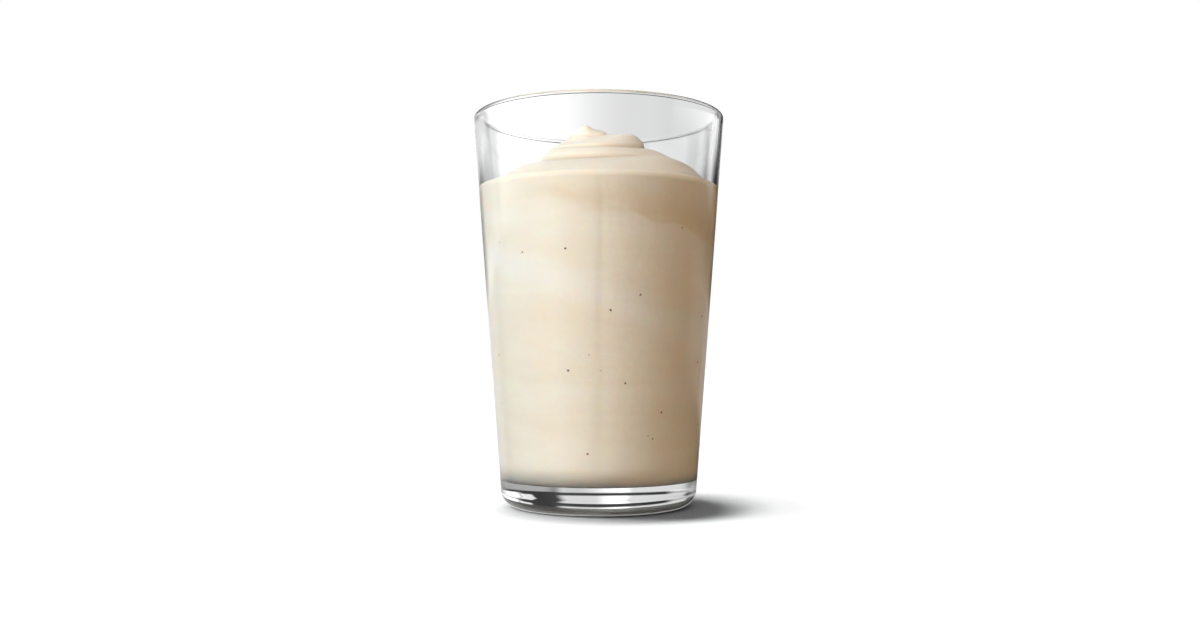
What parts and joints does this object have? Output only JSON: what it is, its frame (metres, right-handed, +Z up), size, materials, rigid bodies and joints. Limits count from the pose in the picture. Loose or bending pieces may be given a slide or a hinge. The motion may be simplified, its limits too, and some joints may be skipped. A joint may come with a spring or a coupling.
{
  "type": "vanilla milkshake",
  "caption": "Thick pale drink with a soft spiral swirl on top, filling a clear tapered straight-sided glass tumbler with a rounded rim and a solid base.",
  "frame": {"origin": "centre of the glass's standing ring, on the table", "axes": "+Z up along the glass's axis, +X to the viewer's right and +Y away from the viewer, who faces the side where the peak of the swirl leans to the left"},
  "size_m": [0.086, 0.086, 0.1342],
  "materials": {
    "glass": "clear polished soda-lime glass, colourless",
    "milkshake": "thick smooth vanilla milkshake, warm cream colour, soft satin surface that lets light in a few millimetres"
  },
  "bodies": {
    "root": {"glass": "glass", "milkshake": "milkshake"}
  },
  "joints": []
}
